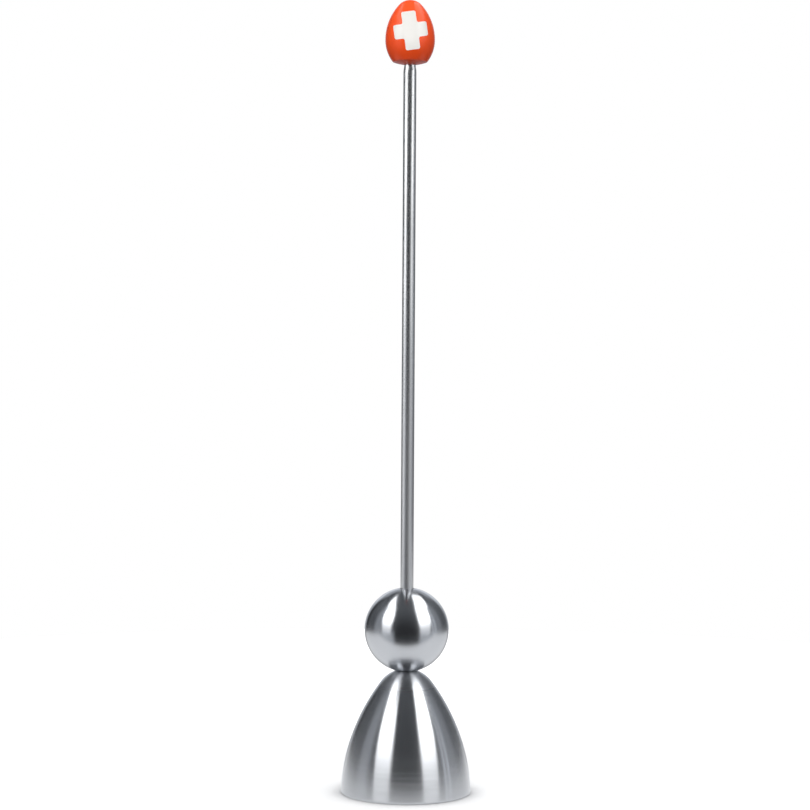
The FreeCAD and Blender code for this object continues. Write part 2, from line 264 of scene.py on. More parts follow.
@dataclass(frozen=True)
class Finish:
    """What all finishes share: a colour and how a new material is begun and ended."""

    name: str
    colour: Colour
    roughness: float

    def begin(self) -> tuple[bpy.types.Material, Canvas]:
        """Begins a material.

        Returns:
            The new, empty material and the canvas of its nodes.
        """
        material = bpy.data.materials.new(self.name)
        material.use_nodes = True
        return material, Canvas(material.node_tree)

    @staticmethod
    def end(canvas: Canvas, inputs: dict) -> None:
        """Adds the surface shader with these inputs and links it to the material's output."""
        shader = canvas.node("ShaderNodeBsdfPrincipled", inputs=inputs)
        canvas.node("ShaderNodeOutputMaterial", inputs={"Surface": shader.outputs[0]})

    @staticmethod
    def around(canvas: Canvas) -> tuple[Value, Value, Value, Value]:
        """Finds where a point lies round the axis.

        Args:
            canvas: The canvas that takes the nodes.

        Returns:
            The height, the distance from the axis and the two parts of the direction from the axis.
        """
        place = canvas.value("ShaderNodeTexCoord", output="Object")
        x, y, height = canvas.split(place)
        radius = (x * x + y * y).math("SQRT").math("MAXIMUM", MERGE_DISTANCE)
        return height, radius, x / radius, y / radius


@dataclass(frozen=True)
class TurnedSteel(Finish):
    """Stainless steel, turned and brushed round the axis.

    It is rougher by wear above the wear heights, and its lines differ by scuff below the scuff height.
    """

    lathe: LatheArc
    anisotropy: float
    wear: float = 0.0
    wear_heights: tuple[float, float] = (0.0, 1.0)
    scuff: float = 0.0
    scuff_height: float = 1.0
    coarse_lines_per_metre: float = 1400.0
    fine_lines_per_metre: float = 6000.0
    sweep: float = 1.3
    coarse_share: float = 0.6
    line_range: tuple[float, float] = (0.3, 0.7)
    line_shade: float = 0.97
    line_roughness: float = 0.024
    groove_depth: float = 0.15e-6

    def material(self) -> bpy.types.Material:
        """Builds the material: fine rings round the axis, in the colour, the roughness and the relief.

        Returns:
            The material.
        """
        material, canvas = self.begin()
        height, radius, east, north = self.around(canvas)
        out, up = radius - self.lathe.centre_radius, height - self.lathe.centre_height
        along = up.math("ARCTAN2", out) * self.lathe.radius
        sweep_east, sweep_north = east * self.sweep, north * self.sweep
        coarse_place = canvas.vector(along * self.coarse_lines_per_metre, sweep_east, sweep_north)
        fine_place = canvas.vector(along * self.fine_lines_per_metre, sweep_east, sweep_north)
        coarse = canvas.noise(coarse_place, 1.0, 3.0)
        fine = canvas.noise(fine_place, 1.0, 2.0)
        lines = coarse * self.coarse_share + fine * (1 - self.coarse_share)
        shade = canvas.step(lines, *self.line_range)
        dark = tuple(part * self.line_shade for part in self.colour)
        worn = canvas.step(height, *self.wear_heights)
        scuffed = (1 - canvas.step(height, 0.0, self.scuff_height)) * (lines - 0.5)
        roughness = self.roughness - self.line_roughness / 2 + lines * self.line_roughness
        bump = canvas.value("ShaderNodeBump", inputs={"Distance": self.groove_depth, "Height": lines})
        tangent = canvas.node("ShaderNodeTangent", {"direction_type": "RADIAL", "axis": "Z"})
        self.end(canvas, {
            "Base Color": canvas.mix(shade, dark, self.colour),
            "Metallic": 1.0,
            "Roughness": roughness + worn * self.wear + scuffed * self.scuff,
            "Anisotropic": self.anisotropy,
            "Anisotropic Rotation": 0.25,
            "Tangent": tangent.outputs[0],
            "Normal": bump,
        })
        return material


@dataclass(frozen=True)
class DrawnSteel(Finish):
    """Stainless steel wire, drawn along its length, with fine streaks and a few darker specks.

    It is rougher by wear below the wear heights.
    """

    wear: float
    wear_heights: tuple[float, float]
    anisotropy: float = 0.94
    streaks_round: float = 7.0
    streaks_along: float = 90.0
    streak_roughness: float = 0.04
    speck_scale: float = 3.1
    speck_range: tuple[float, float] = (0.62, 0.72)
    speck_shade: float = 0.88
    groove_depth: float = 0.12e-6

    def material(self) -> bpy.types.Material:
        """Builds the material: streaks along the axis, in the colour, the roughness and the relief.

        Returns:
            The material.
        """
        material, canvas = self.begin()
        height, _, east, north = self.around(canvas)
        round_east, round_north = east * self.streaks_round, north * self.streaks_round
        place = canvas.vector(round_east, round_north, height * self.streaks_along)
        streaks = canvas.noise(place, 1.0, 4.0)
        specks = canvas.step(canvas.noise(place, self.speck_scale, 2.0), *self.speck_range)
        worn = 1 - canvas.step(height, *self.wear_heights)
        dark = tuple(part * self.speck_shade for part in self.colour)
        roughness = self.roughness - self.streak_roughness / 2 + streaks * self.streak_roughness
        bump = canvas.value("ShaderNodeBump", inputs={"Distance": self.groove_depth, "Height": streaks})
        tangent = canvas.node("ShaderNodeTangent", {"direction_type": "RADIAL", "axis": "Z"})
        self.end(canvas, {
            "Base Color": canvas.mix(specks, self.colour, dark),
            "Metallic": 1.0,
            "Roughness": roughness + worn * self.wear,
            "Anisotropic": self.anisotropy,
            "Tangent": tangent.outputs[0],
            "Normal": bump,
        })
        return material


@dataclass(frozen=True)
class PlainMetal(Finish):
    """A plain metal with faint mottling, for fasteners and the insert."""

    grain: float = 2500.0
    grain_shade: float = 0.88
    grain_roughness: float = 0.1
    grain_depth: float = 2.0e-6

    def material(self) -> bpy.types.Material:
        """Builds the material: a fine, even grain.

        Returns:
            The material.
        """
        material, canvas = self.begin()
        place = canvas.value("ShaderNodeTexCoord", output="Object")
        grain = canvas.noise(place, self.grain, 3.0)
        dark = tuple(part * self.grain_shade for part in self.colour)
        bump = canvas.value("ShaderNodeBump", inputs={"Distance": self.grain_depth, "Height": grain})
        self.end(canvas, {
            "Base Color": canvas.mix(grain, dark, self.colour),
            "Metallic": 1.0,
            "Roughness": self.roughness - self.grain_roughness / 2 + grain * self.grain_roughness,
            "Normal": bump,
        })
        return material


@dataclass(frozen=True)
class Lacquer(Finish):
    """Glossy lacquer: a colour with a clear coat that levels out the slight waves of the spray."""

    coat_roughness: float = 0.22
    coat_ior: float = 1.3
    clouds: float = 225.0
    cloud_shade: float = 0.93
    cloud_roughness: float = 0.06
    waves: float = 900.0
    wave_depth: float = 1.0e-6

    def material(self) -> bpy.types.Material:
        """Builds the material: a soft cloudiness in the colour and slight waves in the gloss.

        Returns:
            The material.
        """
        material, canvas = self.begin()
        place = canvas.value("ShaderNodeTexCoord", output="Object")
        clouds = canvas.noise(place, self.clouds, 2.0)
        waves = canvas.noise(place, self.waves, 2.0)
        deep = tuple(part * self.cloud_shade for part in self.colour)
        bump = canvas.value("ShaderNodeBump", inputs={"Distance": self.wave_depth, "Height": waves})
        self.end(canvas, {
            "Base Color": canvas.mix(clouds, deep, self.colour),
            "Roughness": self.roughness - self.cloud_roughness / 2 + clouds * self.cloud_roughness,
            "Specular IOR Level": 0.0,
            "Coat Weight": 1.0,
            "Coat Roughness": self.coat_roughness,
            "Coat IOR": self.coat_ior,
            "Normal": bump,
        })
        return material


# ---------------------------------------------------------------------------------------------------
# Turned shapes
# ---------------------------------------------------------------------------------------------------


class Profile:
    """A chain of edges in the plane y = 0, drawn with operators and then turned about the Z axis."""

    def __init__(self, radius: float, height: float) -> None:
        """Starts the chain.

        Args:
            radius: The first corner's distance from the axis.
            height: Its height.
        """
        self.mesh = bmesh.new()
        self.first = self.tip = self.mesh.verts.new((radius, 0.0, height))
        self.corners = []

    def line(self, radius: float, height: float) -> bmesh.types.BMVert:
        """Draws a straight edge.

        Args:
            radius: The next corner's distance from the axis.
            height: Its height.

        Returns:
            The vertex at the next corner.
        """
        self.tip = bmesh.ops.extrude_vert_indiv(self.mesh, verts=[self.tip])["verts"][0]
        self.tip.co = Vector((radius, 0.0, height))
        return self.tip

    def arc(self, radius: float, height: float, turn: float, steps: int) -> bmesh.types.BMVert:
        """Draws an arc from the chain's tip.

        Args:
            radius: The distance of the arc's centre from the axis.
            height: The height of its centre.
            turn: How far it turns, positive where it goes from +X towards +Z.
            steps: How many edges it gets.

        Returns:
            The vertex at its end.
        """
        swept = bmesh.ops.spin(
            self.mesh, geom=[self.tip], cent=(radius, 0.0, height), axis=(0.0, 1.0, 0.0),
            dvec=(0.0, 0.0, 0.0), angle=-math.radians(turn), steps=steps, use_duplicate=False,
        )
        self.tip = next(item for item in swept["geom_last"] if isinstance(item, bmesh.types.BMVert))
        return self.tip

    def round_off(self, corner: bmesh.types.BMVert, reach: float, segments: int = 4) -> None:
        """Marks a corner to round off over a reach along both its edges, or to cut flat in one segment."""
        self.corners.append((corner, reach, segments))

    def close(self) -> None:
        """Draws the last edge back to the first corner."""
        bmesh.ops.contextual_create(self.mesh, geom=[self.tip, self.first])

    def turn(self, segments: int) -> bmesh.types.BMesh:
        """Rounds the marked corners off and turns the chain once round the Z axis.

        Args:
            segments: How many faces lie round the axis.

        Returns:
            The closed shell, its faces pointing outwards.
        """
        for corner, reach, count in self.corners:
            bmesh.ops.bevel(
                self.mesh, geom=[corner], offset=reach, offset_type="OFFSET", segments=count, profile=0.5,
                affect="VERTICES", material=-1, clamp_overlap=True,
            )
        bmesh.ops.spin(
            self.mesh, geom=[*self.mesh.verts, *self.mesh.edges], cent=(0.0, 0.0, 0.0), axis=(0.0, 0.0, 1.0),
            dvec=(0.0, 0.0, 0.0), angle=math.tau, steps=segments, use_merge=True, use_duplicate=False,
        )
        bmesh.ops.remove_doubles(self.mesh, verts=self.mesh.verts, dist=MERGE_DISTANCE)
        bmesh.ops.recalc_face_normals(self.mesh, faces=self.mesh.faces)
        return self.mesh


def place_piece(
    shell: bmesh.types.BMesh, name: str, body: Body, stands_for: str, material: bpy.types.Material
) -> bpy.types.Object:
    """Makes a scene object of a finished shell and gives it its place in the frame.

    Args:
        shell: The shell, in the frame's own coordinates. It is freed.
        name: The piece's name.
        body: The body that it rides on.
        stands_for: The node that it replaces.
        material: Its material.

    Returns:
        The object.
    """
    for face in shell.faces:
        face.smooth = True
    for edge in shell.edges:
        edge.smooth = edge.calc_face_angle(0.0) < math.radians(SHARP_ANGLE)
    data = bpy.data.meshes.new(name)
    shell.to_mesh(data)
    shell.free()
    data.materials.append(material)
    piece = bpy.data.objects.new(name, data)
    bpy.context.scene.collection.objects.link(piece)
    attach(piece, body.value)
    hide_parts(stands_for)
    Log.info("%s: %d faces, rides on %s", name, len(data.polygons), body.value)
    return piece


def dress_node(node: str, material: bpy.types.Material) -> None:
    """Gives a node that stays its material.

    Args:
        node: The node's name.
        material: The material, for all its slots.
    """
    for material_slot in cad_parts[node].material_slots:
        material_slot.material = material
    Log.info("%s: dressed in %s", node, material.name)


# ---------------------------------------------------------------------------------------------------
# The egg topper's sub-assemblies
# ---------------------------------------------------------------------------------------------------


@dataclass
class Bell:
    """The bell: a round crown and a long flank one wall thick, open below, with a washer seat inside.

    Its wear band and its scuff's top are shares of its height, which the frame gives.
    """

    rim_radius: float = 0.02015
    crown_radius: float = 0.00975
    crown_land_radius: float = 0.0034
    shoulder_angle: float = 37.3
    wall: float = 0.0015
    crown_thickness: float = 0.003
    hole_radius: float = 0.0016
    seat_radius: float = 0.004
    rim_round: float = 0.00062
    rim_chamfer: float = 0.00025
    land_round: float = 0.00012
    wear_band: tuple[float, float] = (0.84, 0.94)
    scuff_top: float = 0.55
    flank_steps: int = 48
    crown_steps: int = 20
    inner_crown_steps: int = 16
    segments: int = 288

    def __post_init__(self) -> None:
        """Works out the two arcs of the outer side."""
        self.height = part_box("bell")[1].z
        lean_out = math.cos(math.radians(self.shoulder_angle))
        lean_up = math.sin(math.radians(self.shoulder_angle))
        self.crown_centre = self.height - math.sqrt(self.crown_radius**2 - self.crown_land_radius**2)
        shoulder = self.crown_radius * lean_out
        shoulder_up = self.crown_centre + self.crown_radius * lean_up
        inwards = shoulder - self.rim_radius
        self.flank_radius = (inwards**2 + shoulder_up**2) / (2 * (inwards * lean_out + shoulder_up * lean_up))
        self.flank_out = shoulder - self.flank_radius * lean_out
        self.flank_up = shoulder_up - self.flank_radius * lean_up

    def lathe(self) -> LatheArc:
        """The flank's arc."""
        return LatheArc(self.flank_out, self.flank_up, self.flank_radius)

    def build(self) -> bpy.types.Object:
        """Builds and dresses the bell.

        Returns:
            Its object.
        """
        rim_angle = math.degrees(math.asin(-self.flank_up / self.flank_radius))
        land_angle = math.degrees(math.acos(self.crown_land_radius / self.crown_radius))
        inner_flank, inner_crown = self.flank_radius - self.wall, self.crown_radius - self.wall
        inner_rim_angle = math.degrees(math.asin(-self.flank_up / inner_flank))
        seat_angle = math.degrees(math.acos(self.seat_radius / inner_crown))
        seat_height = self.height - self.crown_thickness

        profile = Profile(self.rim_radius, 0.0)
        profile.round_off(profile.first, self.rim_round)
        profile.arc(self.flank_out, self.flank_up, self.shoulder_angle - rim_angle, self.flank_steps)
        land = profile.arc(0.0, self.crown_centre, land_angle - self.shoulder_angle, self.crown_steps)
        profile.round_off(land, self.land_round)
        profile.line(self.hole_radius, self.height)
        profile.line(self.hole_radius, seat_height)
        profile.line(self.seat_radius, seat_height)
        profile.line(self.seat_radius, self.crown_centre + inner_crown * math.sin(math.radians(seat_angle)))
        profile.arc(0.0, self.crown_centre, self.shoulder_angle - seat_angle, self.inner_crown_steps)
        inner_turn = inner_rim_angle - self.shoulder_angle
        inner_rim = profile.arc(self.flank_out, self.flank_up, inner_turn, self.flank_steps)
        profile.round_off(inner_rim, self.rim_chamfer, segments=1)
        profile.close()
        wear_low, wear_high = (share * self.height for share in self.wear_band)
        steel = TurnedSteel(
            "bell_steel", (0.565, 0.58, 0.605), 0.235, self.lathe(), anisotropy=0.96, wear=0.14,
            wear_heights=(wear_low, wear_high), scuff=0.16, scuff_height=self.scuff_top * self.height,
        )
        shell = profile.turn(self.segments)
        return place_piece(shell, "bell_turned", Body.STEM, "bell", steel.material())


@dataclass
class Ball:
    """The ball: bored for the rod, with a narrow flat ring round each end of the bore."""

    radius: float = 0.013
    bore_radius: float = 0.00208
    bore_chamfer: float = 0.0003
    flat_radius: float = 0.00288
    flat_round: float = 0.00008
    arc_steps: int = 112
    segments: int = 224

    def build(self) -> bpy.types.Object:
        """Builds and dresses the ball.

        Returns:
            Its object.
        """
        base, top = (corner.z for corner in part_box("ball"))
        middle = (base + top) / 2
        flat_angle = math.degrees(math.acos(self.flat_radius / self.radius))
        mouth = self.bore_radius + self.bore_chamfer

        profile = Profile(mouth, base)
        profile.round_off(profile.line(self.flat_radius, base), self.flat_round)
        profile.round_off(profile.arc(0.0, middle, 2 * flat_angle, self.arc_steps), self.flat_round)
        profile.line(mouth, top)
        profile.line(self.bore_radius, top - self.bore_chamfer)
        profile.line(self.bore_radius, base + self.bore_chamfer)
        profile.close()
        lathe = LatheArc(0.0, middle, self.radius)
        steel = TurnedSteel("ball_steel", (0.555, 0.572, 0.6), 0.215, lathe, anisotropy=0.78)
        shell = profile.turn(self.segments)
        return place_piece(shell, "ball_turned", Body.BALL, "ball", steel.material())


@dataclass
class Rod:
    """The rod: a lower thread, the plain length between bell and knob, a neck and an upper thread."""

    radius: float = 0.002
    thread_radius: float = 0.0015
    thread_chamfer: float = 0.0003
    neck_radius: float = 0.0017
    neck_taper: float = 0.002
    neck_depth: float = 0.001
    shoulder_round: float = 0.0001
    segments: int = 96

    def build(self) -> bpy.types.Object:
        """Builds and dresses the rod.

        Returns:
            Its object.
        """
        low, top = (corner.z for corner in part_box("rod"))
        shoulder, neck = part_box("bell")[1].z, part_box("knob")[0].z
        neck_end = neck + self.neck_depth

        profile = Profile(0.0, low)
        profile.line(self.thread_radius - self.thread_chamfer, low)
        profile.line(self.thread_radius, low + self.thread_chamfer)
        profile.line(self.thread_radius, shoulder)
        profile.round_off(profile.line(self.radius, shoulder), self.shoulder_round)
        profile.round_off(profile.line(self.radius, neck - self.neck_taper), self.neck_taper / 4)
        profile.line(self.neck_radius, neck)
        profile.line(self.neck_radius, neck_end)
        profile.line(self.thread_radius, neck_end)
        profile.line(self.thread_radius, top - self.thread_chamfer)
        profile.line(self.thread_radius - self.thread_chamfer, top)
        profile.line(0.0, top)
        steel = DrawnSteel("rod_steel", (0.56, 0.568, 0.58), 0.22, wear=0.08, wear_heights=(0.08, 0.19))
        shell = profile.turn(self.segments)
        return place_piece(shell, "rod_drawn", Body.STEM, "rod", steel.material())


@dataclass
class Fasteners:
    """The washers and the cap nut under the bell's crown, whose modelled shapes stay."""

    nodes: tuple[str, ...] = ("flat_washer", "spring_washer", "cap_nut")
    finish: PlainMetal = PlainMetal("fastener_steel_plain", (0.55, 0.55, 0.56), 0.32)

    def build(self) -> None:
        """Dresses the fasteners."""
        steel = self.finish.material()
        for node in self.nodes:
            dress_node(node, steel)


@dataclass
class Knob:
    """The egg-shaped knob, the cross in its front and the threaded insert in its base."""

    red: Lacquer = Lacquer("red_lacquer_gloss", (0.86, 0.08, 0.015), 0.35)
    white: Lacquer = Lacquer("white_lacquer_gloss", (0.88, 0.86, 0.82), 0.35)
    brass: PlainMetal = PlainMetal("insert_brass_plain", (0.78, 0.58, 0.30), 0.3)

    def build(self) -> None:
        """Dresses the knob, the cross and the insert, whose modelled shapes stay."""
        dress_node("knob", self.red.material())
        dress_node("cross_inlay", self.white.material())
        dress_node("knob_insert", self.brass.material())


# ---------------------------------------------------------------------------------------------------
# The studio: camera, lights, floor and surroundings
# ---------------------------------------------------------------------------------------------------


def azimuth_of(across: Value, away: Value) -> Value:
    """A direction's azimuth in degrees, from 0 at the camera's side to 180 behind the object."""
    return across.math("ABSOLUTE").math("ARCTAN2", -1 * away) * math.degrees(1.0)


def light_only(lamp: bpy.types.Object, pieces: tuple[bpy.types.Object, ...]) -> None:
    """Makes a lamp or a glowing screen light some pieces alone.

    Args:
        lamp: The lamp or the screen.
        pieces: The pieces, or none where it lights everything.
    """
    if pieces:
        lit = bpy.data.collections.new(f"lit_by_{lamp.name}")
        for piece in pieces:
            lit.objects.link(piece)
        lamp.light_linking.receiver_collection = lit


@dataclass(frozen=True)
class Lamp:
    """A square lamp that lights colours and the floor, but is neither mirrored nor in the picture itself.

    Its radiance is the brightness of its face, at which a white sheet that it filled the sky of would
    glow.
    """

    name: str
    width: float
    radiance: float
    place: tuple[float, float, float]

    def face(self, target: Vector, lights: tuple[bpy.types.Object, ...]) -> None:
        """Hangs the lamp with its face towards a target.

        Args:
            target: What it faces.
            lights: The pieces that it lights, or none for all of them.
        """
        lamp = bpy.data.lights.new(self.name, "AREA")
        lamp.shape = "SQUARE"
        lamp.size = self.width
        lamp.energy = self.radiance * math.pi * self.width**2
        box = bpy.data.objects.new(self.name, lamp)
        place = Vector(self.place)
        turn = (target - place).to_track_quat("-Z", "Y").to_matrix().to_4x4()
        box.matrix_world = Matrix.Translation(place) @ turn
        box.visible_camera = False
        box.visible_glossy = False
        bpy.context.scene.collection.objects.link(box)
        light_only(box, lights)


@dataclass(frozen=True)
class Screen:
    """What the glowing screens share: they show only in reflections, and each on its own pieces."""

    side: Side
    brightness: float

    def raise_screen(
        self, name: str, shell: bmesh.types.BMesh, stops: tuple[tuple[float, float], ...],
        shows_in: tuple[bpy.types.Object, ...],
    ) -> None:
        """Makes the screen's object.

        Args:
            name: The screen's name.
            shell: Its face, which is freed.
            stops: Its radiance by height, in rising order.
            shows_in: The pieces that mirror it, or none for all of them.
        """
        data = bpy.data.meshes.new(f"{name}_{self.side.name.lower()}")
        shell.to_mesh(data)
        shell.free()
        data.materials.append(self.glow(data.name, stops))
        screen = bpy.data.objects.new(data.name, data)
        screen.visible_camera = False
        screen.visible_diffuse = False
        bpy.context.scene.collection.objects.link(screen)
        light_only(screen, shows_in)

    def glow(self, name: str, stops: tuple[tuple[float, float], ...]) -> bpy.types.Material:
        """Makes the screen's glow, which follows its stops and doesn't hide what is behind it.

        Args:
            name: The material's name.
            stops: The screen's radiance by height, in rising order.

        Returns:
            The material.
        """
        material = bpy.data.materials.new(name)
        material.use_nodes = True
        canvas = Canvas(material.node_tree)
        top = max(level for level, _ in stops)
        peak = max(radiance for _, radiance in stops)
        _, _, height = canvas.split(canvas.value("ShaderNodeTexCoord", output="Object"))
        scaled = [(level / top, radiance / peak) for level, radiance in stops]
        ramp = canvas.value("ShaderNodeValToRGB", {"stops": scaled}, {0: height / top})
        glow = canvas.node("ShaderNodeEmission", inputs={"Strength": ramp * peak * self.brightness})
        clear = canvas.node("ShaderNodeBsdfTransparent", inputs={"Color": opaque((1.0, 1.0, 1.0))})
        both = canvas.node("ShaderNodeAddShader", inputs={0: glow.outputs[0], 1: clear.outputs[0]})
        canvas.node("ShaderNodeOutputMaterial", inputs={"Surface": both.outputs[0]})
        return material


@dataclass(frozen=True)
class Softbox(Screen):
    """A tall glowing screen beside or behind the camera, dim at the table and bright at its top.

    Its foot and its top are given by the azimuths of their two ends, away from the camera's side, and
    stand at the heights base and height.
    """

    name: str
    foot: tuple[float, float]
    top: tuple[float, float]
    stops: tuple[tuple[float, float], ...] = (
        (0.0, 0.5), (0.11, 0.9), (0.2, 1.5), (0.27, 2.4), (0.36, 3.6), (0.64, 4.4),
    )
    base: float = 0.0
    distance: float = 0.55
    height: float = 0.64

    def build(self, shows_in: tuple[bpy.types.Object, ...]) -> None:
        """Adds the screen.

        Args:
            shows_in: The pieces that mirror it.
        """
        middle = sum((*self.foot, *self.top)) / 4
        turn = Matrix.Rotation(math.radians(middle) * self.side.value, 3, "Z")
        shell = bmesh.new()
        corners = [
            (self.foot[0], self.base), (self.foot[1], self.base),
            (self.top[1], self.height), (self.top[0], self.height),
        ]
        edge = []
        for azimuth, height in corners:
            out = math.tan(math.radians(azimuth - middle)) * self.side.value
            edge.append(shell.verts.new(turn @ Vector((out * self.distance, -self.distance, height))))
        bmesh.ops.contextual_create(shell, geom=edge)
        self.raise_screen(self.name, shell, self.stops, shows_in)


@dataclass(frozen=True)
class Roof(Screen):
    """A glowing screen over one side of the object, which narrows from the front to the back."""

    corners: tuple[tuple[float, float], ...]
    height: float = 0.70

    def build(self) -> None:
        """Adds the screen over its side of the studio."""
        shell = bmesh.new()
        edge = [shell.verts.new((out * self.side.value, back, self.height)) for out, back in self.corners]
        bmesh.ops.contextual_create(shell, geom=edge)
        self.raise_screen("roof", shell, ((0.0, 1.0), (self.height, 1.0)), ())


@dataclass(frozen=True)
class Patch:
    """A part of the studio's walls that the metal reflects, with its bounds seen from the object.

    Its azimuths run from 0 at the camera's side to 180 behind the object, on one side or on both.
    """

    name: str
    azimuths: tuple[float, float]
    elevations: tuple[float, float]
    edge: float
    strength: float
    side: Side | None = None


@dataclass
class Studio:
    """A white studio with a dark front: the surroundings, softboxes, roofs, lamps and the floor.

    The bell, the ball with the knob, and the rod each mirror softboxes of their own.
    """

    lens: float = 93.8
    sensor: float = 36.0
    camera_place: tuple[float, float, float] = (-0.00092, -0.651, 0.1326)
    camera_pitch: float = 1.135
    camera_roll: float = 0.337
    gloom_low: float = 0.03
    gloom_high: float = 0.13
    gloom_top: float = 70.0
    floor_front: float = 0.074
    floor_reach: float = 0.4
    floor_opening: float = 0.01915
    floor_colour: float = 0.8
    floor_glow: float = 0.48
    # The near glow, the shadow reach and the contact settings below paint a soft contact shadow into the
    # floor's glow.
    floor_near_glow: float = 0.52
    floor_shadow_reach: tuple[float, float] = (0.06, 0.16)
    floor_rear: tuple[float, float] = (140.0, 156.0)
    floor_sides: int = 96
    contact_reach: float = 0.008
    contact_range: tuple[float, float] = (0.4, 1.0)
    contact_samples: int = 8
    patches: tuple[Patch, ...] = (
        Patch("apron", (36.0, 75.0), (-30.0, 0.0), 6.0, 0.45),
        Patch("left_side", (75.0, 100.0), (-30.0, 50.0), 6.0, 0.32, Side.LEFT),
        Patch("right_side", (75.0, 112.0), (-30.0, 50.0), 6.0, 0.26, Side.RIGHT),
        Patch("left_rear", (100.0, 135.0), (-30.0, 45.0), 6.0, 0.08, Side.LEFT),
        Patch("right_rear", (112.0, 150.0), (-30.0, 45.0), 4.0, 0.10, Side.RIGHT),
        Patch("near_streak", (76.0, 78.5), (-6.0, 35.0), 0.8, 0.8, Side.RIGHT),
        Patch("far_streak", (84.5, 89.0), (-6.0, 35.0), 1.2, 0.5, Side.RIGHT),
        Patch("backdrop", (150.0, 190.0), (-60.0, 38.0), 2.5, 0.45),
        Patch("backdrop_glow", (157.0, 190.0), (7.0, 22.0), 4.0, 0.45),
        Patch("below", (-10.0, 190.0), (-100.0, -62.0), 6.0, 0.85),
    )
    bell_softboxes: tuple[Softbox, ...] = (
        Softbox(Side.LEFT, 1.0, "bell_softbox", (29.5, 56.0), (29.5, 74.0)),
        Softbox(Side.RIGHT, 1.0, "bell_softbox", (31.5, 57.0), (31.5, 77.0)),
    )
    ball_softboxes: tuple[Softbox, ...] = (
        Softbox(Side.LEFT, 1.1, "ball_softbox", (43.5, 68.0), (43.5, 84.0)),
        Softbox(Side.RIGHT, 1.0, "ball_softbox", (36.5, 65.0), (36.5, 84.0)),
    )
    rod_softboxes: tuple[Softbox, ...] = (
        Softbox(
            Side.LEFT, 0.95, "rod_softbox", (72.0, 100.0), (28.0, 62.0), base=-0.15, stops=(
                (0.0, 1.4), (0.075, 1.3), (0.11, 1.4), (0.15, 2.5), (0.19, 2.2), (0.225, 3.0), (0.64, 4.2),
            ),
        ),
        Softbox(
            Side.RIGHT, 1.0, "rod_softbox", (10.0, 62.0), (80.0, 82.0), base=-0.15, stops=(
                (0.0, 0.48), (0.075, 0.5), (0.11, 0.62), (0.15, 1.35), (0.19, 1.25), (0.225, 2.1),
                (0.265, 2.6), (0.64, 3.4),
            ),
        ),
        Softbox(
            Side.LEFT, 1.0, "rod_front", (-14.0, 14.0), (-14.0, 14.0), base=-0.15, stops=(
                (0.0, 0.1), (0.035, 0.09), (0.075, 0.03), (0.11, 0.0), (0.15, 0.0), (0.19, 0.035),
                (0.64, 0.035),
            ),
        ),
    )
    roofs: tuple[Roof, ...] = (
        Roof(Side.LEFT, 3.0, (
            (0.37, -0.34), (0.254, 0.068), (0.21, 0.35), (0.33, 0.215), (0.49, 0.13), (0.65, -0.33),
        )),
        Roof(Side.RIGHT, 3.0, (
            (0.3, -0.41), (0.16, 0.028), (0.09, 0.3), (0.28, 0.4), (0.56, 0.15), (0.7, -0.41),
        )),
    )
    knob_lamps: tuple[Lamp, ...] = (
        Lamp("knob_lamp_left", 0.4, 4.6, (-0.42, -0.38, 0.56)),
        Lamp("knob_lamp_right", 0.4, 3.6, (0.42, -0.38, 0.56)),
        Lamp("knob_lamp_front", 0.4, 3.9, (-0.03, -0.50, 0.46)),
    )
    cross_lamp: Lamp = Lamp("cross_lamp", 0.4, 7.4, (-0.03, -0.60, 0.28))
    floor_lamp: Lamp = Lamp("floor_lamp", 0.6, 2.4, (0.0, 0.0, 0.75))
    top_lamp: Lamp = Lamp("top_lamp", 0.6, 1.0, (0.0, 0.0, 0.75))
    lamp_target: tuple[float, float, float] = (0.0, 0.0, 0.15)
    cool: Colour = (0.96, 1.0, 1.07)

    def build(self, bell: bpy.types.Object, ball: bpy.types.Object, rod: bpy.types.Object) -> None:
        """Builds the studio.

        Args:
            bell: The bell's object.
            ball: The ball's.
            rod: The rod's.
        """
        bpy.context.scene.view_settings.view_transform = "Standard"
        self.make_camera()
        floor = self.make_floor()
        self.make_surroundings()
        knob, cross = (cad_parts[name] for name in ("knob", "cross_inlay"))
        shown = (
            (self.bell_softboxes, (bell,)),
            (self.ball_softboxes, (ball, knob, cross)),
            (self.rod_softboxes, (rod,)),
        )
        for softboxes, pieces in shown:
            for softbox in softboxes:
                softbox.build(pieces)
        for roof in self.roofs:
            roof.build()
        target = Vector(self.lamp_target)
        for lamp in self.knob_lamps:
            lamp.face(target, (knob,))
        self.cross_lamp.face(target, (cross,))
        self.floor_lamp.face(target, (floor,))
        self.top_lamp.face(target, ())
        Log.info("studio: camera, floor, surroundings and lamps")

    def make_camera(self) -> None:
        """Makes the camera, which looks along +Y and a little down, and makes it the scene's own."""
        data = bpy.data.cameras.new("camera")
        data.lens, data.sensor_width = self.lens, self.sensor
        camera = bpy.data.objects.new("camera", data)
        tilt = Matrix.Rotation(math.radians(90.0 - self.camera_pitch), 4, "X")
        roll = Matrix.Rotation(math.radians(self.camera_roll), 4, "Z")
        camera.matrix_world = Matrix.Translation(self.camera_place) @ tilt @ roll
        bpy.context.scene.collection.objects.link(camera)
        bpy.context.scene.camera = camera

